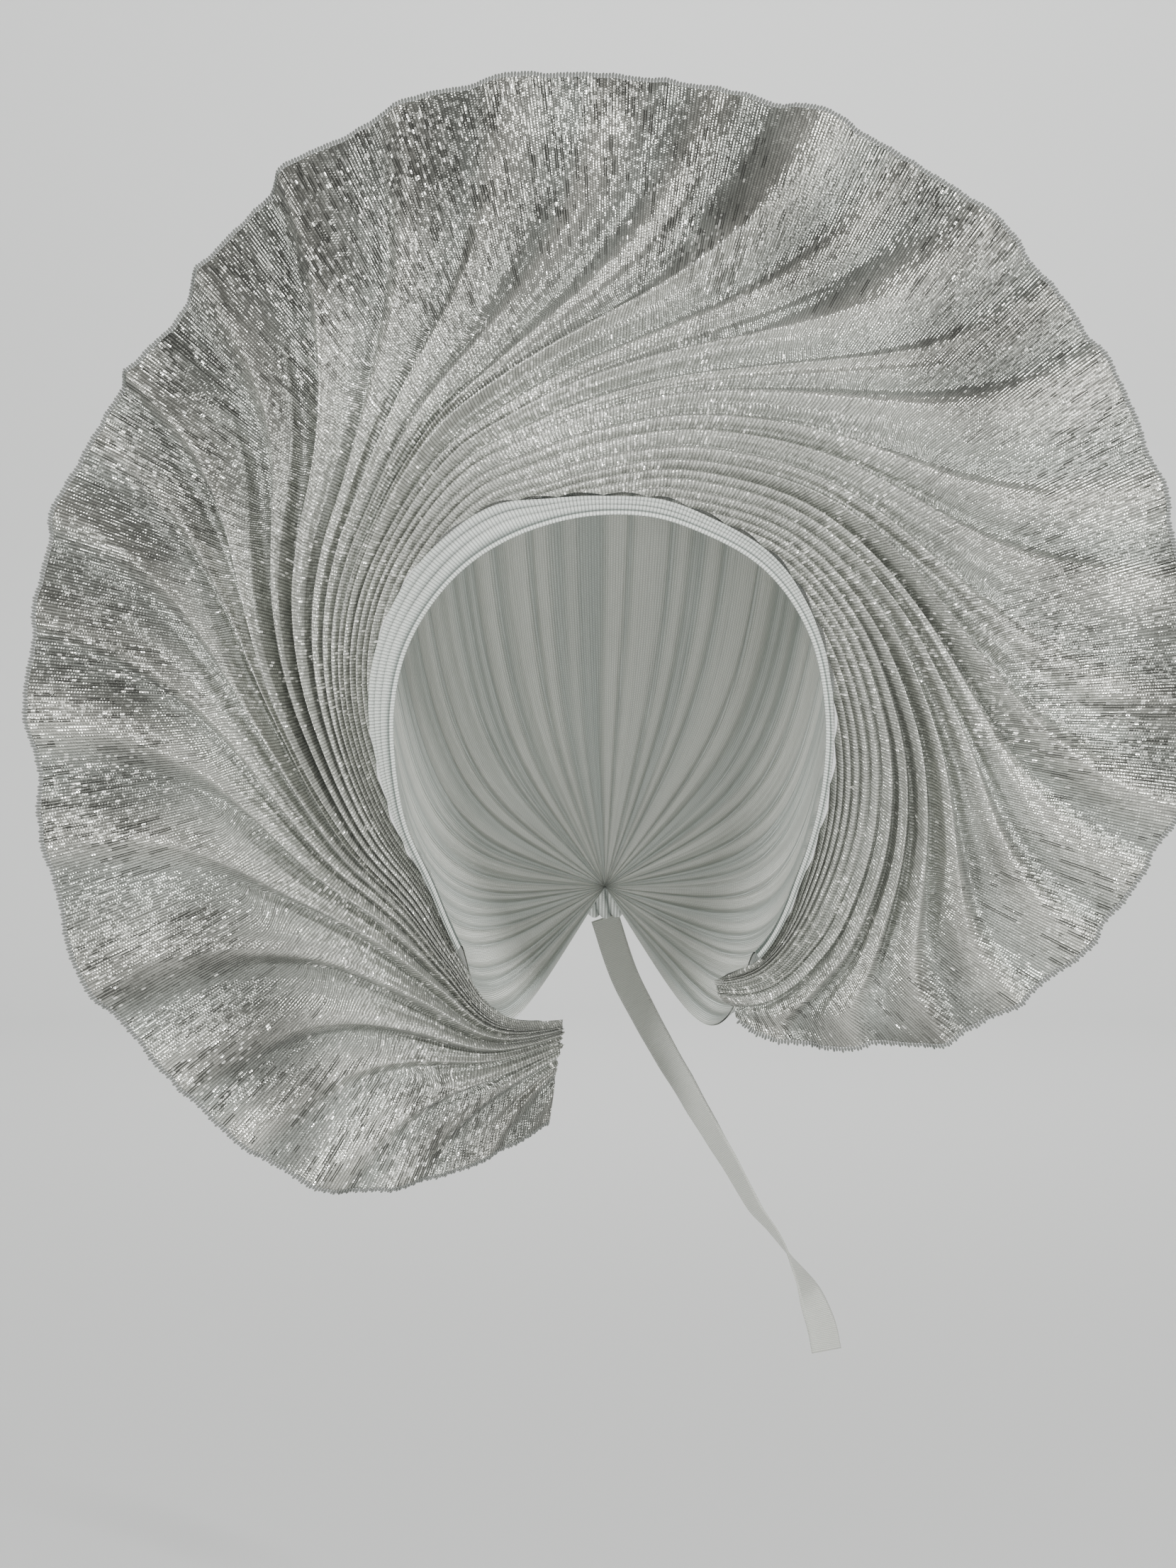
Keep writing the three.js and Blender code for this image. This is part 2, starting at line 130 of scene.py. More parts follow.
def addMesh(name, vertices, faces, uv=None, smoothFaces=True, **values):
    # vertices in mm; uv holds a pair for each face corner; values holds one for each vertex
    mesh = bpy.data.meshes.new(name)
    corners = faces.shape[1]
    mesh.vertices.add(len(vertices))
    mesh.vertices.foreach_set("co", (vertices * metresPerMm).astype(np.float32).ravel())
    mesh.loops.add(faces.size)
    mesh.loops.foreach_set("vertex_index", faces.astype(np.int32).ravel())
    mesh.polygons.add(len(faces))
    mesh.polygons.foreach_set("loop_start", np.arange(0, faces.size, corners, dtype=np.int32))
    mesh.update(calc_edges=True)
    mesh.polygons.foreach_set("use_smooth", np.full(len(faces), smoothFaces))
    if uv is not None:
        layer = mesh.uv_layers.new(name="weave")
        layer.uv.foreach_set("vector", uv.astype(np.float32).ravel())
    for key, value in values.items():
        attribute = mesh.attributes.new(key, "FLOAT", "POINT")
        attribute.data.foreach_set("value", value.astype(np.float32).ravel())
    mesh.validate()
    piece = bpy.data.objects.new(name, mesh)
    bpy.context.scene.collection.objects.link(piece)
    return piece


def gridFaces(columns, rows, wrap=False):
    # quads between neighbouring columns and rows, numbered column by column
    across = columns if wrap else columns - 1
    c, r = np.meshgrid(np.arange(across), np.arange(rows - 1), indexing="ij")
    nextC = (c + 1) % columns
    return np.stack([c * rows + r, nextC * rows + r, nextC * rows + r + 1, c * rows + r + 1],
                    axis=-1).reshape(-1, 4)


def ringFaces(columns, rows):
    # quads round each column's closed ring, from column to column
    c, r = np.meshgrid(np.arange(columns - 1), np.arange(rows), indexing="ij")
    nextR = (r + 1) % rows
    return np.stack([c * rows + r, (c + 1) * rows + r, (c + 1) * rows + nextR, c * rows + nextR],
                    axis=-1).reshape(-1, 4)


def gridUv(grid):
    # a pair for each corner of the quads between neighbouring columns and rows of a grid
    return np.stack([grid[:-1, :-1], grid[1:, :-1], grid[1:, 1:], grid[:-1, 1:]], 2).reshape(-1, 2)


def closeEnds(piece, caps):
    # one flat face over each open end
    work = bmesh.new()
    work.from_mesh(piece.data)
    work.verts.ensure_lookup_table()
    for cap in caps:
        work.faces.new([work.verts[int(i)] for i in cap]).smooth = True
    work.to_mesh(piece.data)
    work.free()


# Fan

fan = {
    "reach": 215, "depth": 50, "flareFade": 0.6, "ridge": 1.4, "sink": 0.6,
    "fold": 10, "ruffle": 6.5, "scallop": 0.45, "trail": 140, "trailFade": 0.21,
    "pleatStep": 10.5, "start": 262, "end": -68, "rimLean": 0.55, "lift": 0.8,
    "rows": 128, "rowSpread": 1.9, "fallColumns": 11, "riseColumns": 6, "fallShare": 0.8,
    "crease": 1.5, "flutter": 0.9, "swell": 1.6, "crestCrease": 0.75,
    "tightValley": 0.55, "valleyGrowth": 0.27, "openValley": 0.72, "slowRise": 0.45,
    "tallerBy": (0.15, 0.6), "valleyDrift": 0.12,
    "flatCut": (1.30, 0.165),     # metres, fitted to the area of the one layer that shows
    # shares of the way out between which one thing turns into another
    "leave": (0.04, 0.28), "foldFade": (0.55, 1), "ruffleGrow": (0.45, 1), "leanUntil": (0, 0.15),
    "roundUntil": (0.08, 0.26), "softFrom": (0.4, 0.8), "sinkFade": (0.3, 0.7),
    "scallopGrow": (0.7, 1), "valleyGrow": (0.05, 0.4), "valleyOpens": (0.35, 0.8),
    "openTone": (0.25, 0.75), "straightRibs": (0.40, 0.50), "ribAnchor": 0.45,
}
# Outer edge of the fan: angle, reach as a share, depth as a share
outline = np.array([
    (262, 0.750, 0.96), (256, 0.812, 0.66), (250, 0.877, 0.44), (241, 0.958, 0.24),
    (230, 0.985, 0.08), (218, 0.985, -0.04), (207, 1.006, -0.14), (196, 0.992, -0.20),
    (186, 0.978, -0.25), (176, 0.986, -0.29), (160, 0.994, -0.35), (150, 0.985, -0.38),
    (141, 0.978, -0.41), (132, 1.006, -0.43), (120, 1.052, -0.46), (108, 1.077, -0.48),
    (98, 1.080, -0.49), (84, 1.066, -0.50), (72, 1.060, -0.49), (60, 1.060, -0.47),
    (50, 1.050, -0.45), (35, 1.028, -0.40), (20, 1.013, -0.35), (0, 0.993, -0.28),
    (-10, 0.980, -0.23), (-25, 0.924, -0.11), (-37, 0.858, 0.0), (-44, 0.815, 0.08),
    (-50, 0.755, 0.18), (-62, 0.656, 0.52), (-68, 0.585, 0.76),
])
# Folds: angle at the outer edge, height half way out and at the edge as shares
folds = np.array([
    (262, 0.10, 0.10), (255, 0.15, 0.15), (247, 0.20, 0.25), (240, 0.40, 0.50),
    (230, 0.20, 0.20), (221, 0.60, 0.45), (208, 0.70, 0.85), (193, 0.55, 0.50),
    (180, 0.80, 0.85), (171, 0.30, 0.30), (160, 0.45, 0.60), (152, 0.15, 0.05),
    (145, 0.90, 0.85), (133, 0.80, 0.80), (121.5, 0.85, 0.85), (109.5, 0.50, 0.55),
    (100, 0.30, 0.35), (90, 0.16, 0.08), (80, 0.08, 0.05), (70, 0.80, 0.80),
    (61, 0.06, 0.05), (52, 0.62, 0.50), (43, 0.10, 0.12), (35, 0.28, 0.36),
    (22, 0.35, 0.45), (13, 0.45, 0.40), (1, 0.40, 0.42), (-9.5, 0.85, 1.00),
    (-17, 0.40, 0.30), (-25, 0.50, 0.50), (-35, 0.60, 0.50), (-44, 0.80, 0.90),
    (-53, 0.50, 0.40), (-62, 0.35, 0.25),
])
# How crisp the folds stay in the open fan: angle at the outer edge, share
crispFolds = np.array([
    (262, 0.1), (240, 0.5), (230, 0.1), (214, 0.1), (208, 0.5), (200, 0.1), (180, 0.3), (171, 0.1),
    (163, 0.5), (145, 0.9), (138, 0.7), (120, 0.8), (110, 0.7), (100, 0.3), (92, 0.0), (74, 0.1),
    (70, 0.2), (58, 0.1), (52, 0.1), (43, 0.1), (22, 0.2), (1, 0.2), (-9.5, 0.8), (-17, 0.4),
    (-44, 0.5), (-68, 0.2), (-300, 0.2),
])
# How far a fold trails round the face: angle at the outer edge, share
trails = np.array([
    (262, 0.62), (221, 0.66), (178, 0.76), (145, 0.88), (121, 0.96), (100, 1.00),
    (70, 1.06), (52, 1.05), (0, 0.95), (-44, 0.85), (-68, 0.82), (-190, 0.80),
])

flareFull = 1 - math.exp(-1 / fan["flareFade"])
fadeLeft = math.exp(-1 / fan["trailFade"])


def trailFull(exitAngle):
    # how far a fold trails round the face in all, in degrees
    return fan["trail"] * between(trails, 1, exitAngle)


def foldAngle(exitAngle, share):
    # a fold's angle: the one at the edge, and its trail times an exponential of the way out
    # that is nought at the edge
    return exitAngle + trailFull(exitAngle) * (np.exp(-share / fan["trailFade"]) - fadeLeft)


def shareAt(exitAngle, angle):
    # the share of the way out at which a fold crosses an angle
    left = (angle - exitAngle) / trailFull(exitAngle) + fadeLeft
    return np.clip(-fan["trailFade"] * np.log(np.clip(left, fadeLeft, 1)), 0, 1)


def fanBase(angle, share):
    # the fan without folds: straight out from the rim, and back by an exponential flare
    rimAt = bandBack(angle)
    inner = headAt(angle, rimAt) + band["height"] * between(seats, 4, angle) + band["gap"]
    outer = fan["reach"] * between(outline, 1, angle)
    edgeAt = fan["depth"] * between(outline, 2, angle)
    flare = (1 - np.exp(-share / fan["flareFade"])) / flareFull
    return around(angle, inner + (outer - inner) * share, rimAt + (edgeAt - rimAt) * flare)


def fanUp(angle, share):
    # square to the fan, and at its rim forward and away from the head
    low = np.maximum(0, share - 0.01)
    out = fanBase(angle, low + 0.02) - fanBase(angle, low)
    along = fanBase(angle + 1, share) - fanBase(angle - 1, share)
    atRim = unit(around(angle, fan["rimLean"], -1.0))
    blend = smooth(share, *fan["leanUntil"])[..., None]
    return unit(atRim * (1 - blend) + unit(np.cross(out, along)) * blend)


def foldRows():
    # the table's folds, then the ones that only show round the face, down to the rim's end
    last = fan["end"] - trailFull(trails[-1, 0]) * (1 - fadeLeft)
    hidden = np.arange(folds[-1, 0] - fan["pleatStep"], last + fan["pleatStep"] / 2, -fan["pleatStep"])
    return np.concatenate([folds, np.stack([hidden, 0 * hidden, 0 * hidden], 1), [[last, 0, 0]]])


def crestHeight(mid, edge, share):
    # a low ridge round the face that grows into a broad fold and ends in the ruffle
    leaves = smooth(share, *fan["leave"])
    grown = mid * fan["fold"] * (1 - smooth(share, *fan["foldFade"]))
    grown = grown + edge * fan["ruffle"] * smooth(share, *fan["ruffleGrow"])
    return fan["ridge"] * (1 - leaves) + leaves * grown


def valleyAt(share):
    # where the valley lies between two crests, as a share, which grows once the folds open
    return fan["tightValley"] + fan["valleyGrowth"] * smooth(share, *fan["valleyGrow"])


def wander(at, seed):
    # a smooth line that never repeats, from about -1 to 1: three sines of unlike lengths
    slow, quick = np.sin(at + seed), np.sin(1.73 * at + 2.1 * seed)
    return (slow + 0.7 * quick + 0.5 * np.sin(2.91 * at + 3.7 * seed)) / 2.2


def creases(exitAt, share):
    # Soft creases that run with the folds in the middle of the fan and fade towards the edge,
    # and a small flutter of the edge itself
    line = 1 - np.abs(wander(exitAt * 0.62 + 0.5 * wander(share * 5, 1.0), 0.4)) * 2
    fine = 1 - np.abs(wander(exitAt * 1.31, 2.3)) * 2
    body = smooth(share, 0.1, 0.3) * (1 - smooth(share, 0.55, 0.95))
    edge = smooth(share, 0.72, 1.0)
    flutter = wander(exitAt * 0.9 + 2 * share, 5.1) * edge * fan["flutter"]
    return fan["crease"] * (line + 0.5 * fine) * body * 0.6 + flutter


def swell(exitAt, share):
    # broad hollows and swells of the open cloth, which run with the folds and break along them
    field = wander(exitAt * 0.16 + 1.9 * share, 0.8) + wander(exitAt * 0.07 - 5.3 * share, 3.1)
    return fan["swell"] * field * smooth(share, 0.3, 0.6) * (1 - 0.5 * smooth(share, 0.85, 1.0))


def crispAt(exitAngle):
    # the crispFolds table read in straight lines between its rows
    return np.interp(-exitAngle, -crispFolds[:, 0], crispFolds[:, 1])


def makeFan():
    # Columns run out from the rim along each fold, rows round the face. A fold falls from its
    # crest to a valley and rises to the next crest, and the fall is mostly the longer one. Every
    # column is at its foldAngle, on fanBase, raised along fanUp by the crest's height times a
    # profile, with creases and swells added.
    rows = foldRows()
    exits, mids, edges = rows.T
    falls, rises = fan["fallColumns"], fan["riseColumns"]
    perFold = falls + rises
    count = len(rows) - 1
    fold = np.repeat(np.arange(count), perFold)
    step = np.tile(np.arange(perFold), count)
    falling = step < falls
    p = np.where(falling, step / falls, (step - falls) / rises)[:, None]
    falling = falling[:, None]
    this, width = exits[fold][:, None], (exits[fold] - exits[fold + 1])[:, None]
    fall = fan["fallShare"]
    nominal = this - width * np.where(falling, fall * p, fall + (1 - fall) * p)
    low = shareAt(nominal, fan["start"])
    high = np.where(nominal < fan["end"], shareAt(nominal, fan["end"]), 1)
    spread = fan["rowSpread"]
    way = (np.exp(spread * np.linspace(0, 1, fan["rows"])) - 1) / (math.exp(spread) - 1)
    share = low + (high - low) * way
    valley = valleyAt(share)
    # in the open fan a soft fold rises slowly out of its valley where it is much the taller one
    taller = smooth(np.roll(edges, -1) - edges, *fan["tallerBy"]) * (1 - crispAt(np.roll(exits, -1)))
    openValley = fan["openValley"] + fan["valleyDrift"] * wander(this * 0.37, 2.6)
    openValley = openValley - fan["slowRise"] * taller[fold][:, None]
    valley = valley + (openValley - valley) * smooth(share, *fan["valleyOpens"])
    exitAt = this - width * np.where(falling, p * valley, valley + (1 - valley) * p)
    mid = np.where(falling, mids[fold][:, None], mids[fold + 1][:, None])
    edge = np.where(falling, edges[fold][:, None], edges[fold + 1][:, None])
    # round the face each valley is a crease between round ridges, half way out each crest is
    # a crease above a soft hollow, and in the open fan only the crisp folds keep theirs
    rounded = np.where(falling, np.cos(p * np.pi / 2), np.sin(p * np.pi / 2))
    creased = 1 - np.where(falling, np.sin(p * np.pi / 2), np.cos(p * np.pi / 2))
    soft = (1 + np.cos(np.pi * np.where(falling, p, 1 - p))) / 2
    crisp = crispAt(exitAt)
    tight = 1 - smooth(share, *fan["roundUntil"])
    loose = smooth(share, *fan["softFrom"]) * (1 - crisp)
    middle = soft + (creased - soft) * fan["crestCrease"] * (1 - loose)
    profile = middle + (rounded - middle) * tight
    sink = fan["sink"] * (1 - smooth(share, *fan["sinkFade"]))
    height = (crestHeight(mid, edge, share) + sink) * profile - sink
    angle = np.clip(foldAngle(exitAt, share), fan["end"], fan["start"])
    height = height + creases(exitAt, share) + swell(exitAt, share)
    base = fanBase(angle, share)
    scallop = fan["scallop"] * np.maximum(height, 0) * smooth(share, *fan["scallopGrow"])
    out = around(angle, 1.0, 0.0) * scallop[..., None]
    points = base + out + fanUp(angle, share) * (height + fan["lift"])[..., None]
    faces = gridFaces(len(fold), fan["rows"])
    uv = weaveMap(points, angle, share, perFold, falls, count)
    # painted shade: the colour darkens towards each valley by the fold's profile, nought in the valley and
    # one on the crest
    tone = np.clip(profile * np.ones_like(share), 0, 1)
    piece = addMesh("pleatedFan", points.reshape(-1, 3), faces, uv, tone=tone,
                    open=smooth(share, *fan["openTone"]))
    reaches = high[:, 0] > 0.999
    loops = makeSelvedge(points[reaches, -1], points[reaches, -4])
    return piece, loops


selvedge = {"pitch": 1.2, "length": 2.2, "width": 0.52, "past": 0.8, "around": 6, "along": 5,
            "uneven": 0.35}


def makeSelvedge(edge, inside):
    # the ends of the ribs: one small loop of film on each rib, along the whole outer edge
    run = np.concatenate([[0], np.cumsum(np.linalg.norm(np.diff(edge, axis=0), axis=1))])
    at = np.arange(selvedge["pitch"] / 2, run[-1], selvedge["pitch"])
    place = np.stack([np.interp(at, run, edge[:, i]) for i in range(3)], -1)
    inner = np.stack([np.interp(at, run, inside[:, i]) for i in range(3)], -1)
    out = unit(place - inner)
    side = unit(np.gradient(place, axis=0))
    side = unit(side - out * np.sum(side * out, -1, keepdims=True))
    up = np.cross(out, side)
    size = 1 + selvedge["uneven"] * wander(np.arange(len(at)) * 2.3, 0.7)[:, None, None]
    turn = np.linspace(0, 2 * np.pi, selvedge["around"], endpoint=False)
    rise = np.linspace(0.04, 0.96, selvedge["along"]) * np.pi
    ring = np.sin(rise)[:, None]
    shape = np.stack([np.broadcast_to(-np.cos(rise)[:, None] * selvedge["length"] / 2 + selvedge["past"],
                                      (len(rise), len(turn))),
                      ring * np.cos(turn) * selvedge["width"], ring * np.sin(turn) * selvedge["width"]], -1)
    shape = shape.reshape(-1, 3)
    points = (place[:, None] + out[:, None] * shape[None, :, :1] * size
              + side[:, None] * shape[None, :, 1:2] + up[:, None] * shape[None, :, 2:])
    count, ringSize = len(turn), len(turn) * len(rise)
    r, c = np.meshgrid(np.arange(len(rise) - 1), np.arange(count), indexing="ij")
    quads = np.stack([r * count + c, r * count + (c + 1) % count, (r + 1) * count + (c + 1) % count,
                      (r + 1) * count + c], -1).reshape(-1, 4)
    faces = (quads[None] + np.arange(len(at))[:, None, None] * ringSize).reshape(-1, 4)
    return addMesh("selvedgeLoops", points.reshape(-1, 3), faces)


def edgeLength(angle):
    # length along the outer edge from the fan's start
    grid = np.linspace(fan["start"], fan["end"], 800)
    line = fanBase(grid, np.ones_like(grid))
    run = np.concatenate([[0], np.cumsum(np.linalg.norm(np.diff(line, axis=0), axis=1))])
    return np.interp(-np.asarray(angle), -grid, run)


def weaveMap(points, angle, share, perFold, falls, count):
    # Cloth coordinates in mm for each face corner: u runs along the outer edge, v in from it,
    # and the ribs are lines of one u. In the fan they run straight in. Round the face each
    # pleat carries them along itself, so that they cross it, and they meet again in the valleys.
    inner, outer = fanBase(angle, 0 * share), fanBase(angle, 0 * share + 1)
    reach = np.linalg.norm(outer - inner, axis=-1)
    spread = np.stack([edgeLength(angle), (1 - share) * reach], -1)
    columns, rows = share.shape
    uv = np.zeros((columns - 1, rows - 1, 4, 2))
    inward = unit(inner - outer)
    for number in range(count):
        first = max(0, number * perFold - (perFold - falls))
        last = min(columns - 1, number * perFold + falls)
        crest = number * perFold
        strip = slice(first, last + 1)
        line = points[crest]
        tangent = unit(np.gradient(line, axis=0)) * -1
        run = np.linalg.norm(np.diff(line, axis=0), axis=1)
        cosine = np.clip(np.sum(tangent * inward[crest], -1), -1, 1)
        sine = np.sqrt(1 - cosine**2)
        anchor = int(np.argmin(np.abs(share[crest] - fan["ribAnchor"])))
        stepU = np.concatenate([[0], np.cumsum(run * (sine[1:] + sine[:-1]) / 2)])
        stepV = np.concatenate([[0], np.cumsum(run * (cosine[1:] + cosine[:-1]) / 2)])
        u = spread[crest, anchor, 0] + (stepU - stepU[anchor])
        v = spread[crest, anchor, 1] - (stepV - stepV[anchor])
        offset = points[strip] - line
        along = np.sum(offset * tangent, -1)
        across = np.sqrt(np.maximum(np.sum(offset**2, -1) - along**2, 0))
        across = across * np.where(np.arange(first, last + 1) < crest, -1, 1)[:, None]
        laid = np.stack([u - along * sine + across * cosine, v + along * cosine + across * sine], -1)
        tight = (1 - smooth(share[strip], *fan["straightRibs"]))[..., None]
        mixed = spread[strip] * (1 - tight) + laid * tight
        uv[first:last, :, 0] = mixed[:-1, :-1]
        uv[first:last, :, 1] = mixed[1:, :-1]
        uv[first:last, :, 2] = mixed[1:, 1:]
        uv[first:last, :, 3] = mixed[:-1, 1:]
    return uv.reshape(-1, 2)


# Headband: overlapping layers of pale cloth, each standing a step over the next

band = {
    "depth": 13, "height": 7, "roll": 1.8, "gap": 0.3,
    "layers": 3, "layerStep": 2.0, "columns": 420, "layerRows": 14,
    "underneath": 0.05, "lengthRow": 10,
    "flatCut": (0.45, 0.016),     # metres, fitted to the area of its outer side
}


def makeHeadband():
    # a closed ring at each angle: a rolled front edge, the layers over the top and a plain
    # underside on the head
    angle = np.linspace(head["start"], head["end"], band["columns"])[:, None]
    per = band["layerRows"]
    way = (np.arange(band["layers"] * per + 1) / (band["layers"] * per))[None, :]
    within = (way * band["layers"]) % 1
    front, back = bandFront(angle), bandBack(angle)
    depth = front + (back - front) * way
    share = between(seats, 4, angle)
    # each layer is a flattened roll, with a groove where the next one starts
    rolled = np.where(way >= 1, 0, np.sin(np.pi * within) ** 0.5)
    shift = 0.35 * wander(angle * 0.06 + 1.7 * np.floor(way * band["layers"]), 1.2)
    height = band["roll"] + (band["height"] * share - band["roll"]) * way
    height = height + band["layerStep"] * share * rolled * (1 + shift)
    top = around(angle, headAt(angle, depth) + height, depth)
    under = around(angle, headAt(angle, depth) + band["underneath"], depth)
    # painted shade: the front edge and the roll tops take the crest colour, and the grooves between the
    # layers and the underside take the dark valley colour
    tone = np.concatenate([np.ones((len(angle), 3)), rolled * np.ones_like(angle),
                           0 * angle + 0 * way], axis=1)
    edge = around(angle, headAt(angle, front) + band["roll"] * np.array([[0.1, 0.3, 0.7]]),
                  front - np.array([[0.2, 0.7, 0.6]]))
    points = np.concatenate([edge, top, under[:, ::-1]], axis=1)
    columns, rows = points.shape[:2]
    closed = np.concatenate([points, points[:, :1]], axis=1)
    faces = ringFaces(columns, rows)
    run = np.concatenate([np.zeros((columns, 1)), np.cumsum(
        np.linalg.norm(np.diff(closed, axis=1), axis=-1), axis=1)], axis=1)
    line = closed[:, band["lengthRow"]]
    length = np.concatenate([[0], np.cumsum(np.linalg.norm(np.diff(line, axis=0), axis=1))])
    grid = np.stack([np.broadcast_to(length[:, None], run.shape), run], -1)
    piece = addMesh("foldedHeadband", points.reshape(-1, 3), faces, gridUv(grid), tone=tone)
    return piece


# Crown cloth: gathered from the headband's back edge to one point at the nape

crown = {"wall": 1.6, "gather": 2.2, "cloth": 0.7, "columns": 480, "rows": 64, "folds": 0.55,
         "spread": 0.9, "steep": 1.3, "fine": 0.2, "least": 0.25, "deepen": (0.05, 0.6),
         "endLoss": 0.7, "endFrom": (0.86, 1.0),
         "flatCut": (0.55, 0.38)}    # metres, fitted to the mesh, which counts both sides of the cloth


def crownGrid(angle, way, extra):
    # From the headband's back edge the way turns to the back like an angle on the head's
    # ellipse. The width follows the boxy ellipse, and the drop brings the back to the nape.
    front = bandBack(angle) + band["gap"]
    ahead = front - head["widest"]
    first = np.arcsin(ahead / (np.where(ahead < 0, head["front"], head["back"]) + extra))
    turn = first + (np.pi / 2 - first) * way
    depth = np.sin(turn) * (np.where(turn < 0, head["front"], head["back"]) + extra)
    share = np.minimum(1, np.abs(depth) / (np.where(depth < 0, head["front"], head["back"]) + extra))
    full = head["halfWidth"] * between(seats, 1, angle) / headShare(bandFront(angle)) + extra
    width = full * (1 - share ** head["power"]) ** (1 / head["power"])
    depth = depth + head["widest"]
    drop = head["napeDrop"] * smooth(depth, np.maximum(head["widest"], front),
                                     head["widest"] + head["back"] + extra)
    return around(angle, width, depth, drop)


def makeCrown():
    angle = np.linspace(head["start"], head["end"], crown["columns"])[:, None]
    way = np.linspace(0, 1, crown["rows"])[None, :] ** crown["spread"]
    # gathers: a narrow dip between broad rounded rolls, deeper towards the knot
    line = np.abs(wander(angle * crown["folds"] / 2 + 0.6 * wander(way * 4, 0.3), 1.9))
    fine = np.abs(wander(angle * crown["folds"] * 1.7 + 0.4 * wander(way * 6, 2.2), 4.0))
    rolls = 1 - (1 - np.minimum(1, line * crown["steep"])) ** 2 + crown["fine"] * fine
    grow = crown["least"] + (1 - crown["least"]) * smooth(way, *crown["deepen"])
    ends = 1 - crown["endLoss"] * smooth(way, *crown["endFrom"])
    extra = crown["cloth"] + crown["gather"] * rolls * grow * ends
    outside = crownGrid(angle, way, extra)
    inside = crownGrid(angle, way, extra - crown["cloth"])
    points = np.concatenate([outside, inside[:, ::-1]], axis=1)
    columns, rows = points.shape[:2]
    faces = ringFaces(columns, rows)
    run = np.cumsum(np.linalg.norm(np.diff(outside, axis=1, prepend=outside[:, :1]), axis=-1), axis=1)
    spread = np.cumsum(np.linalg.norm(np.diff(outside[:, crown["rows"] // 3], axis=0,
                                              prepend=outside[:1, crown["rows"] // 3]), axis=-1))
    run = np.concatenate([run, run[:, ::-1], run[:, :1]], axis=1)
    grid = np.stack([np.broadcast_to(spread[:, None], run.shape), run], -1)
    # painted shade: the dips between the gathers take the darker valley colour, on both sides of the cloth
    tone = np.concatenate([rolls, rolls[:, ::-1]], axis=1)
    piece = addMesh("gatheredCrown", points.reshape(-1, 3), faces, gridUv(grid), tone=tone)
    return piece


# Knot at the nape: cloth wound over itself, in ridges that lean across it

knot = {"halfWidth": 17, "halfDepth": 9, "halfHeight": 13, "ridges": 7, "ridge": 1.5, "lean": 0.5,
        "columns": 160, "rows": 120}


def knotDepth():
    # how far back the knot's middle lies: behind the crown cloth, by the gap
    return head["widest"] + head["back"] + crown["wall"] + band["gap"] + knot["halfDepth"]


def makeKnot():
    # a blunt ellipsoid that lies sideways, with a ridge at each half wave of a leaning phase
    across = np.linspace(0.02, 0.98, knot["columns"])[:, None] * np.pi
    winding = np.linspace(0, 2 * np.pi, knot["rows"], endpoint=False)[None, :]
    sideways = np.cos(across)
    phase = knot["ridges"] * (sideways + knot["lean"] * 0.3 * np.sin(winding))
    phase = phase + 0.3 * wander(winding * 2, 0.4)
    ridge = np.abs(np.sin(phase * 1.5)) ** 0.6 - 0.6
    pinch = np.sin(across) ** 0.5
    grow = 1 + knot["ridge"] * ridge * pinch / knot["halfDepth"]
    x = knot["halfWidth"] * sideways * np.ones_like(winding)
    y = knot["halfDepth"] * np.sin(across) ** 0.75 * np.cos(winding) * grow
    z = knot["halfHeight"] * np.sin(across) ** 0.75 * np.sin(winding) * grow
    points = np.stack([x, y + knotDepth(), z - head["napeDrop"]], -1)
    columns, rows = points.shape[:2]
    turn = winding * knot["halfHeight"]
    turn = np.concatenate([turn, [[2 * np.pi * knot["halfHeight"]]]], axis=1)
    grid = np.stack(np.broadcast_arrays(x[:, :1] * 1.0, turn), -1)
    faces = ringFaces(columns, rows)
    caps = [np.arange(rows)[::-1], (columns - 1) * rows + np.arange(rows)]
    # painted shade: the colour darkens between the ridges, by the ridge's height
    piece = addMesh("napeKnot", points.reshape(-1, 3), faces, gridUv(grid), tone=ridge + 0.6)
    closeEnds(piece, caps)
    return piece


# Tie: one flat tape that hangs from the knot and twists on its way

tie = {"drop": 170, "swing": 88, "forward": 52, "width": 12, "thick": 0.9, "rows": 260, "across": 14,
       "cup": 0.35, "hem": 0.5, "hemFrom": (0.7, 0.9), "sway": 0.5, "swayWaves": 23,
       "flatCut": (0.012, 0.21)}     # metres: its width and the length of its route
# Route of the tie: drop, swing and forward shares, and its turn
tieRoute = np.array([
    (0.00, 0.00, 0.00, 0), (0.15, 0.10, 0.12, 12), (0.33, 0.29, 0.32, 28), (0.48, 0.46, 0.48, 42),
    (0.62, 0.625, 0.62, 56), (0.685, 0.69, 0.66, 62), (0.73, 0.765, 0.70, 72),
    (0.785, 0.84, 0.76, 88), (0.835, 0.90, 0.83, 118), (0.89, 0.945, 0.89, 150),
    (0.945, 0.98, 0.95, 170), (1.00, 1.00, 1.00, 178),
])


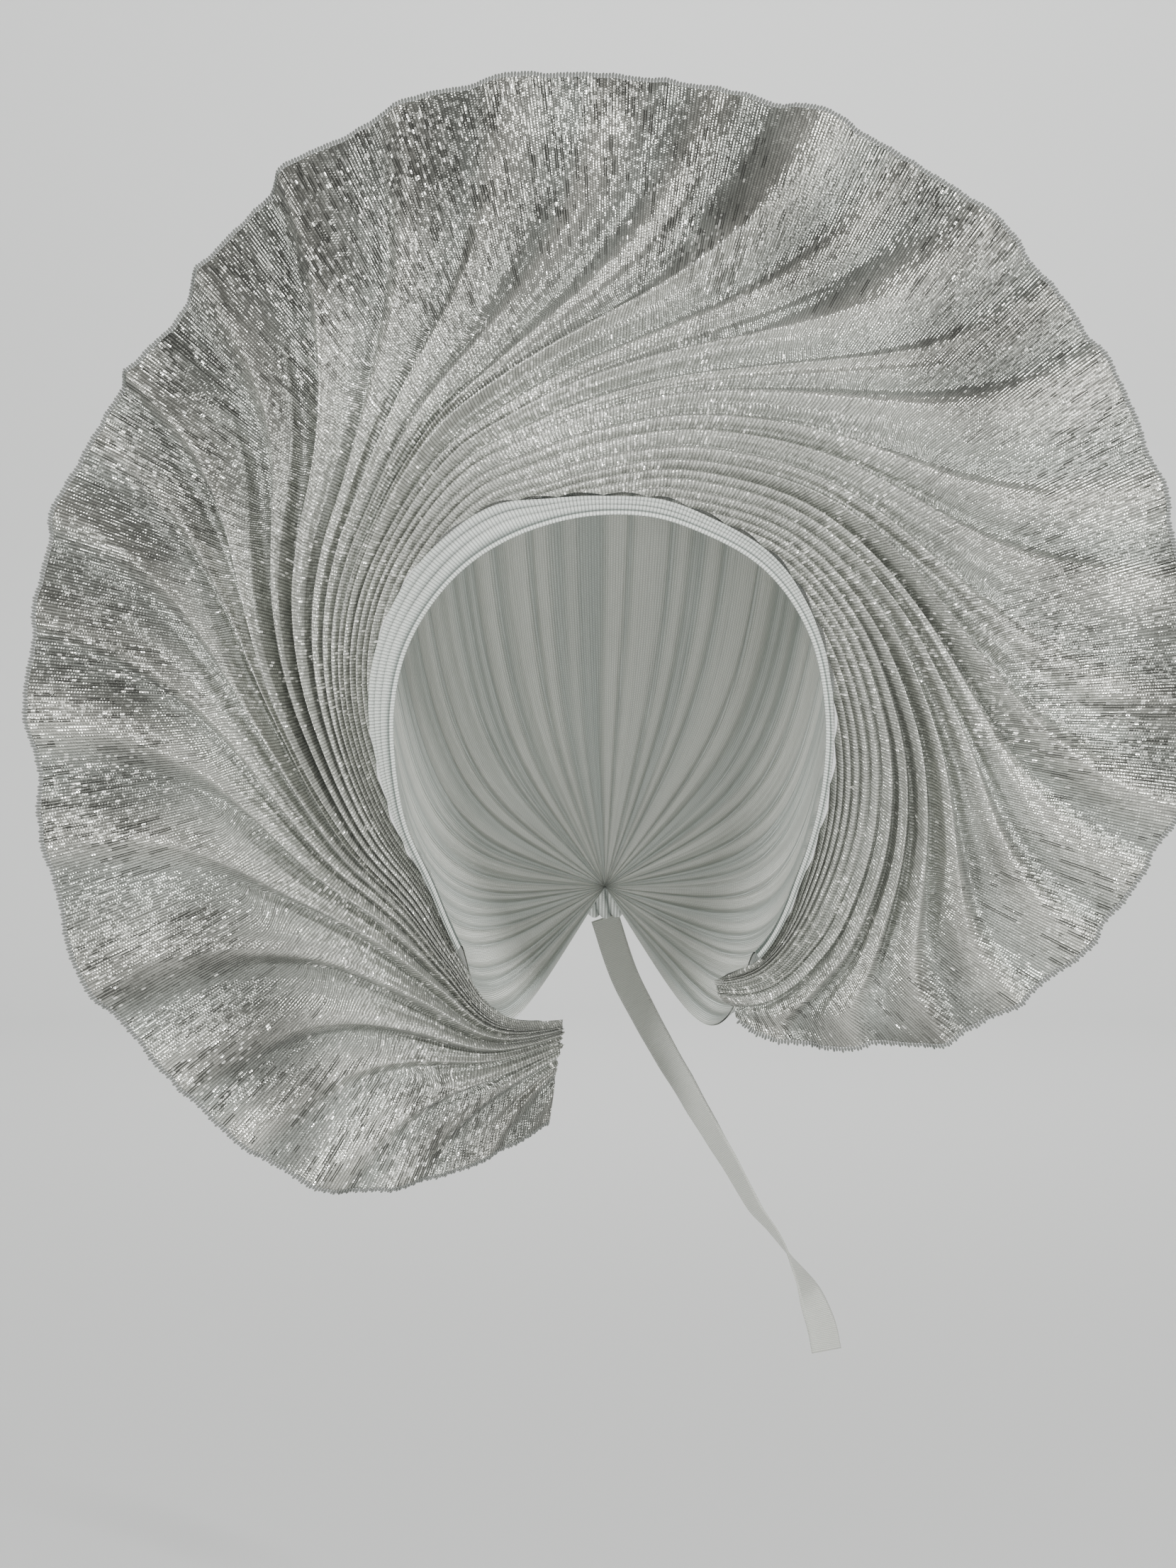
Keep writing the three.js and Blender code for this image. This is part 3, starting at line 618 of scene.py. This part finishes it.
def makeTie():
    # the tape's cross-section is carried along the route and turned by the route's own angle
    drop = np.linspace(0, 1, tie["rows"])
    route = tieRoute[::-1]
    top = np.array([0, knotDepth(), -head["napeDrop"] - knot["halfHeight"] - band["gap"]])
    line = np.stack([tie["swing"] * between(route, 1, drop), -tie["forward"] * between(route, 2, drop),
                     -tie["drop"] * drop], -1) + top
    along = unit(np.gradient(line, axis=0))
    side = unit(np.cross(along, [0, 1, 0]))
    third = np.cross(along, side)
    turn = np.radians(between(route, 3, drop))[:, None]
    width = side * np.cos(turn) + third * np.sin(turn)
    normal = np.cross(along, width)
    # across the tape: a shallow cup, and a thicker rolled hem at each side
    at = np.linspace(-1, 1, tie["across"])
    cup = tie["cup"] * (1 - at**2)
    half = tie["thick"] / 2 * (1 + tie["hem"] * smooth(np.abs(at), *tie["hemFrom"]))
    half = half * np.sqrt(np.maximum(0.02, 1 - at**8))
    wave = tie["sway"] * wander(drop * tie["swayWaves"], 0.9)[:, None] * at**2
    ring = np.concatenate([at, at[::-1]])
    lift = np.concatenate([cup + half, (cup - half)[::-1]])
    sway = np.concatenate([wave, wave[:, ::-1]], axis=1)
    points = (line[:, None] + width[:, None] * (ring * tie["width"] / 2)[None, :, None]
              + normal[:, None] * (lift[None] + sway)[..., None])
    run = np.cumsum(np.linalg.norm(np.diff(line, axis=0, prepend=line[:1]), axis=-1))
    cross = np.concatenate([at, 2 - at[::-1], [3.0]]) * tie["width"] / 2
    grid = np.stack(np.broadcast_arrays(run[:, None], cross[None]), -1)
    columns, rows = points.shape[:2]
    piece = addMesh("tieTape", points.reshape(-1, 3), ringFaces(columns, rows), gridUv(grid))
    closeEnds(piece, [np.arange(rows), ((columns - 1) * rows + np.arange(rows))[::-1]])
    return piece


# Materials

def linear(code):
    # an sRGB hex code as linear colour
    parts = [int(code[i:i + 2], 16) / 255 for i in (1, 3, 5)]
    return [c / 12.92 if c <= 0.04045 else ((c + 0.055) / 1.055) ** 2.4 for c in parts] + [1.0]


def addNode(tree, kind, links=(), **settings):
    # A shader node with its settings. For each input, in order or by its key, links gives a
    # value, an output, or a node whose first output is meant
    node = tree.nodes.new("ShaderNode" + kind)
    for key, value in settings.items():
        setattr(node, key, value)
    for key, value in (links.items() if isinstance(links, dict) else enumerate(links)):
        source = value.outputs[0] if isinstance(value, bpy.types.Node) else value
        if isinstance(source, bpy.types.NodeSocket):
            tree.links.new(source, node.inputs[key])
        else:
            node.inputs[key].default_value = source
    return node


def newMaterial(name):
    material = bpy.data.materials.new(name)
    material.use_nodes = True
    material.node_tree.nodes.clear()
    return material, material.node_tree


def fromMiddle(tree, part):
    # how far a part of a step lies from its middle: the size of the part less a half
    offset = addNode(tree, "Math", [part, 0.5], operation="SUBTRACT")
    return addNode(tree, "Math", [offset], operation="ABSOLUTE")


def grooveShade(tree, part, power, most):
    # dark where two steps meet: the distance from the middle to the power, times the most
    raised = addNode(tree, "Math", [fromMiddle(tree, part), power], operation="POWER")
    return addNode(tree, "Math", [raised, most], operation="MULTIPLY")


def roundTilt(tree, part, most):
    # the tilt over a round rib or bead: the sine of one turn for each step, times the most
    turn = addNode(tree, "Math", [part, 2 * math.pi], operation="MULTIPLY")
    wave = addNode(tree, "Math", [turn], operation="SINE")
    return addNode(tree, "Math", [wave, most], operation="MULTIPLY")


def cellTilt(tree, chance, most, loose):
    # A tilt to either side, in full for the film that has come loose and slight for the rest:
    # the chance less a half, times twice the most, times the looseness
    centred = addNode(tree, "Math", [chance, 0.5], operation="SUBTRACT")
    full = addNode(tree, "Math", [centred, 2 * most], operation="MULTIPLY")
    return addNode(tree, "Math", [full, loose], operation="MULTIPLY")


def ribbedLame(name, look):
    # Lame: polyester warps bound round flat metal film wefts, which lie as ribs. Each length of
    # film between two bindings is a small mirror with a tilt of its own, which gives the sparks.
    material, tree = newMaterial(name)
    # u over the pitch numbers the ribs, and v over the film's length its cells along each rib
    uv = addNode(tree, "UVMap", uv_map="weave")
    split = addNode(tree, "SeparateXYZ", [uv])
    across = addNode(tree, "Math", [split.outputs[0], look["ribPitch"]], operation="DIVIDE")
    rib = addNode(tree, "Math", [across], operation="FLOOR")
    inRib = addNode(tree, "Math", [across], operation="FRACT")
    beside = addNode(tree, "Math", [fromMiddle(tree, inRib), 2.0], operation="MULTIPLY")
    shift = addNode(tree, "TexWhiteNoise", {"W": rib}, noise_dimensions="1D")
    shift = addNode(tree, "Math", [shift, look["ribShift"]], operation="MULTIPLY")
    along = addNode(tree, "Math", [split.outputs[1], look["filmLength"]], operation="DIVIDE")
    along = addNode(tree, "Math", [along, shift], operation="ADD")
    film = addNode(tree, "Math", [along], operation="FLOOR")
    cell = addNode(tree, "CombineXYZ", [rib, film])
    chance = addNode(tree, "TexWhiteNoise", {"Vector": cell}, noise_dimensions="2D")
    chances = addNode(tree, "SeparateColor", [chance.outputs["Color"]])

    # film is loose where its chance is above a limit that falls inside the clouds
    place = addNode(tree, "TexCoord").outputs["Object"]
    cloud = addNode(tree, "TexNoise", {"Vector": place, "Scale": look["cloudScale"],
                                       "Detail": look["cloudDetail"]})
    sparkFrom = addNode(tree, "MapRange", [cloud, *look["sparkCloud"], *look["sparkFrom"]])
    spark = addNode(tree, "Math", [chances.outputs[2], sparkFrom], operation="GREATER_THAN")
    middle = addNode(tree, "Math", [beside, look["sparkWidth"]], operation="LESS_THAN")
    spark = addNode(tree, "Math", [spark, middle], operation="MULTIPLY")
    loose = addNode(tree, "Math", [spark, 1 - look["calm"]], operation="MULTIPLY")
    loose = addNode(tree, "Math", [loose, look["calm"]], operation="ADD")

    # the normal: round ribs across, round beads along, and the film's own tilt on both
    bead = addNode(tree, "Math", [split.outputs[1], look["bindPitch"]], operation="DIVIDE")
    halfStep = addNode(tree, "Math", [rib, 0.5], operation="MULTIPLY")
    bead = addNode(tree, "Math", [bead, halfStep], operation="ADD")
    inBead = addNode(tree, "Math", [bead], operation="FRACT")
    tiltAcross = cellTilt(tree, chances.outputs[0], look["tiltAcross"], loose)
    tiltAlong = cellTilt(tree, chances.outputs[1], look["tiltAlong"], loose)
    roundRib = roundTilt(tree, inRib, look["ribRound"])
    roundBead = roundTilt(tree, inBead, look["beadRound"])
    red = addNode(tree, "Math", [roundRib, tiltAcross], operation="ADD")
    red = addNode(tree, "Math", [0.5, red], operation="ADD")
    green = addNode(tree, "Math", [roundBead, tiltAlong], operation="ADD")
    green = addNode(tree, "Math", [0.5, green], operation="ADD")
    tilt = addNode(tree, "CombineColor", [red, green, 1.0])
    normal = addNode(tree, "NormalMap", {"Strength": 1.0, "Color": tilt}, uv_map="weave")

    # painted shade by the folds: the colour darkens from the crest colour to a greyer valley colour as the
    # height falls, and round the face, where the cloth is not yet open, a darker pair is painted as the
    # shade of the tight pleats
    tone = addNode(tree, "Attribute", attribute_name="tone").outputs["Fac"]
    openness = addNode(tree, "Attribute", attribute_name="open").outputs["Fac"]
    valleyShade = addNode(tree, "Mix", {0: openness, 6: linear(look["tightValley"]), 7: linear(look["valley"])},
                   data_type="RGBA")
    high = addNode(tree, "Mix", {0: openness, 6: linear(look["tightCrest"]), 7: linear(look["crest"])},
                   data_type="RGBA")
    body = addNode(tree, "Mix", {0: tone, 6: valleyShade.outputs[2], 7: high.outputs[2]}, data_type="RGBA")

    # painted dark reflection: streaks a few cells long inside the clouds along the sides of the ribs, where
    # the film mirrors a dark room, and painted shade in broad patches, with a random dimming of each length
    # of cells
    streakCell = addNode(tree, "Math", [along, look["streakCells"]], operation="DIVIDE")
    streakCell = addNode(tree, "Math", [streakCell], operation="FLOOR")
    longCell = addNode(tree, "CombineXYZ", [rib, streakCell, look["streakSeed"]])
    longChance = addNode(tree, "TexWhiteNoise", {"Vector": longCell}, noise_dimensions="3D")
    streakFrom = addNode(tree, "MapRange", [cloud, *look["streakCloud"], *look["streakFrom"]])
    streak = addNode(tree, "Math", [longChance, streakFrom], operation="GREATER_THAN")
    side = addNode(tree, "Math", [beside, look["streakInset"]], operation="GREATER_THAN")
    dark = addNode(tree, "Math", [side, streak], operation="MULTIPLY")
    patchShade = addNode(tree, "TexNoise", {"Vector": place, "Scale": look["patchShadeScale"],
                                      "Detail": look["patchShadeDetail"]})
    patchShade = addNode(tree, "MapRange", [patchShade, *look["patchShadeCloud"], 0.0, look["patchShade"]])
    uneven = addNode(tree, "Math", [longChance, look["uneven"]], operation="MULTIPLY")
    uneven = addNode(tree, "Math", [uneven, patchShade], operation="ADD")
    dark = addNode(tree, "Math", [dark, uneven], operation="ADD")
    shown = addNode(tree, "MapRange", [openness, 0.0, 1.0, look["tightShare"], look["darkShare"]])
    dark = addNode(tree, "Math", [dark, shown], operation="MULTIPLY")
    colour = addNode(tree, "Mix", {0: dark, 6: body.outputs[2], 7: linear(look["dark"])},
                     data_type="RGBA")

    # grooves between the ribs and between the beads, and bright film on top
    gap = grooveShade(tree, inRib, look["gapPower"], look["gapScale"] * look["gapDark"])
    bind = grooveShade(tree, inBead, look["bindPower"], look["bindScale"] * look["bindDark"])
    groove = addNode(tree, "Math", [gap, bind], operation="MAXIMUM")
    shaded = addNode(tree, "Mix", {0: groove, 6: colour.outputs[2], 7: linear(look["gap"])},
                     data_type="RGBA")
    bright = addNode(tree, "Mix", {0: spark, 6: shaded.outputs[2], 7: linear(look["film"])},
                     data_type="RGBA")
    rough = addNode(tree, "MapRange", [cloud, *look["roughCloud"], *look["roughness"]])
    rough = addNode(tree, "Mix", {0: spark, 2: rough, 3: look["sparkRough"]}, data_type="FLOAT")
    metallic = addNode(tree, "MapRange", [openness, 0.0, 1.0, *look["metallic"]])
    shader = addNode(tree, "BsdfPrincipled", {
        "Base Color": bright.outputs[2], "Metallic": metallic, "Roughness": rough, "Normal": normal,
        "Sheen Weight": look["sheen"]})
    addNode(tree, "OutputMaterial", [shader])
    return material


def dress(piece, material, slot, *nodes):
    # the finish, the body that the piece is on and the nodes it stands for; slot is not used
    piece.data.materials.append(material)
    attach(piece, "root")
    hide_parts(*nodes)


# The looks of the cloth. Pitches and lengths are estimates in mm. Noise scales count waves in a
# metre, so that 20 makes clouds about 50 mm wide. A pair named Cloud is a range of that noise,
# and it turns into the pair beside it, for patchShadeCloud into nought and patchShade, the most
# painted shade in the patches. The ribShift moves the cells of each rib by up to so many, streakSeed
# only keeps the streaks' chances their own, and gapScale and bindScale bring the grooves to about
# one where two ribs or beads meet.
fanLook = {
    "ribPitch": 1.2, "bindPitch": 1.05, "filmLength": 1.6, "ribShift": 7.0,
    "ribRound": 0.20, "beadRound": 0.08, "tiltAcross": 0.22, "tiltAlong": 0.28, "calm": 0.4,
    "cloudScale": 20.0, "cloudDetail": 3.0, "film": "#F5F5EE",
    "sparkCloud": (0.46, 0.68), "sparkFrom": (0.994, 0.74), "sparkWidth": 0.7, "sparkRough": 0.2,
    # streaks are painted dark reflection along the sides of the ribs, and patchShade is painted shade in
    # broad patches
    "streakCells": 5.0, "streakSeed": 7.0, "streakInset": 0.35, "uneven": 0.34,
    "streakCloud": (0.42, 0.62), "streakFrom": (0.99, 0.66),
    "patchShadeScale": 14.0, "patchShadeDetail": 2.0, "patchShadeCloud": (0.44, 0.60), "patchShade": 0.7,
    "dark": "#545450", "darkShare": 0.78, "tightShare": 0.2,
    # valley and crest are painted shade and painted light across each fold, and the darker tight pair is
    # painted shade round the face
    "valley": "#C0C4BD", "tightValley": "#A3A69E", "crest": "#E0DFD6", "tightCrest": "#CACBC3",
    "gap": "#4D4E4A", "gapPower": 2.5, "gapScale": 5.66, "gapDark": 0.9,
    "bindPower": 3.0, "bindScale": 8, "bindDark": 0.35,
    "roughCloud": (0.3, 0.7), "roughness": (0.22, 0.33), "metallic": (0.45, 0.82), "sheen": 0.1,
}
# headband and knot have no open attribute and take the tight pair: tightValley is a dark painted shade in
# the grooves between layers, under the band and between the knot's ridges
bandLook = dict(
    fanLook, ribPitch=1.25, tiltAcross=0.04, tiltAlong=0.06, metallic=(0.15, 0.15),
    sparkFrom=(1.0, 1.0), valley="#9FACA6", tightValley="#5F6C66", tightCrest="#F2F7F1",
    roughness=(0.45, 0.6), streakFrom=(1.0, 1.0), uneven=0.12, patchShade=0.1, gapDark=0.85, bindDark=0.3)
# crown: the valley colour is painted shade in the dips between the gathers
crownLook = dict(
    fanLook, metallic=(0.3, 0.3), roughness=(0.42, 0.55), valley="#AEB5B0", tightValley="#AEB5B0",
    tightCrest="#D3D5CE", sparkFrom=(1.0, 1.0), streakFrom=(1.0, 1.0), uneven=0.2, patchShade=0.15,
    calm=0.1, gapDark=0.5)
tieLook = dict(
    bandLook, ribPitch=0.7, bindPitch=0.7, filmLength=1.2, valley="#C3C5BD",
    tightValley="#C3C5BD", tightCrest="#DDDDD5", gapDark=0.5)
loopLook = dict(bandLook, valley="#C4CAC4", tightValley="#C4CAC4", tightCrest="#DADDD6")

# Fan: silver ribs that flicker between bright and grey, with sparks in clouds
silverLame = ribbedLame("silverRibbedLame", fanLook)
# Crown: the same ribs, matter and without sparks, so that the gathers show
crownLame = ribbedLame("crownRibbedLame", crownLook)
# Headband and knot: pale greenish ribs with a soft shine
paleLame = ribbedLame("paleRibbedLame", bandLook)
# Tie: a fine tight weave, almost plain from a distance
tieTapeCloth = ribbedLame("tieTapeWeave", tieLook)
# Loops: pale film that draws a thin light line along the edge
selvedgeFilm = ribbedLame("selvedgeFilm", loopLook)
print("materials made")

fanPiece, loopPiece = makeFan()
dress(fanPiece, silverLame, "silver_lame", "fan")
dress(loopPiece, selvedgeFilm, "silver_lame")
print("fan made")
dress(makeHeadband(), paleLame, "pale_lame", "headband")
print("headband made")
dress(makeCrown(), crownLame, "silver_lame", "crown_wrap")
print("crown made")
dress(makeKnot(), paleLame, "pale_lame", "nape_knot")
dress(makeTie(), tieTapeCloth, "tie_cloth", "tie_tail")
print("knot and tie made")


# Camera, light and floor

photo = {"width": 1659, "height": 2212, "mmPerPixel": 0.2577, "plane": -30, "distance": 900,
         "middle": (857, 1000), "sensor": 36}
room = {"floor": -420, "flat": 3300, "radius": 900, "wall": 2400, "middleFlat": 1500,
        "bendSteps": 30, "turnSteps": 120, "paint": "#DCDDDC", "roughness": 0.85, "sky": "#DADAD7",
        "skyPower": 0.38}
# Lights: name, place and aim in metres, watts, and the disc's width in metres
lights = [
    ("key", (1.35, -1.2, 0.55), (0, 0, 0), 34, 0.2),
    ("window", (-1.4, -1.1, 0.3), (0, 0, 0), 29, 0.35),
    ("low", (0.4, -1.7, -0.3), (0, 0, 0), 6, 0.4),
    ("wall", (0.3, 1.6, 2.6), (0, 4.0, 0.2), 112, 1.5),
]


def addCamera():
    # the lens makes one pixel of the photo mmPerPixel wide in the fan's plane
    data = bpy.data.cameras.new("camera")
    data.sensor_fit = "HORIZONTAL"
    data.sensor_width = photo["sensor"]
    data.lens = photo["sensor"] * photo["distance"] / (photo["width"] * photo["mmPerPixel"])
    camera = bpy.data.objects.new("camera", data)
    x = (photo["width"] / 2 - photo["middle"][0]) * photo["mmPerPixel"]
    z = -(photo["height"] / 2 - photo["middle"][1]) * photo["mmPerPixel"]
    camera.location = np.array((x, photo["plane"] - photo["distance"], z)) * metresPerMm
    camera.rotation_euler = (math.pi / 2, 0, 0)
    bpy.context.scene.collection.objects.link(camera)
    bpy.context.scene.camera = camera


def addLight(name, place, aim, power, size):
    # a disc that shines towards its aim: tilted by the slope of the line and turned by its course
    data = bpy.data.lights.new(name, "AREA")
    data.energy = power
    data.shape = "DISK"
    data.size = size
    light = bpy.data.objects.new(name, data)
    light.location = place
    x, y, z = np.array(aim, float) - np.array(place)
    light.rotation_euler = (math.atan2(math.hypot(x, y), -z), 0, math.atan2(y, x) - math.pi / 2)
    bpy.context.scene.collection.objects.link(light)


def addFloor():
    # a round floor that curves up into a low wall all round: a flat, a quarter round and a rise
    bend = np.linspace(0, np.pi / 2, room["bendSteps"])
    out = np.concatenate([[1, room["middleFlat"]], room["flat"] + room["radius"] * np.sin(bend),
                          [room["flat"] + room["radius"]]])
    rise = np.concatenate([[0, 0], room["radius"] * (1 - np.cos(bend)), [room["wall"]]]) + room["floor"]
    turn = np.linspace(0, 2 * np.pi, room["turnSteps"], endpoint=False)[:, None]
    points = np.stack(np.broadcast_arrays(out * np.cos(turn), out * np.sin(turn), rise), -1)
    faces = gridFaces(room["turnSteps"], len(out), wrap=True)[:, ::-1]
    floor = addMesh("floor", points.reshape(-1, 3), faces)
    # matte wall paint, so that only the cloth shines
    material, tree = newMaterial("paleFloorPaint")
    shader = addNode(tree, "BsdfPrincipled", {"Base Color": linear(room["paint"]),
                                              "Roughness": room["roughness"]})
    addNode(tree, "OutputMaterial", [shader])
    floor.data.materials.append(material)


def addWorld():
    world = bpy.data.worlds.new("softRoom")
    world.use_nodes = True
    background = world.node_tree.nodes["Background"]
    background.inputs[0].default_value = linear(room["sky"])
    background.inputs[1].default_value = room["skyPower"]
    bpy.context.scene.world = world


addCamera()
for light in lights:
    addLight(*light)
addFloor()
addWorld()
print("camera, lights and floor made")
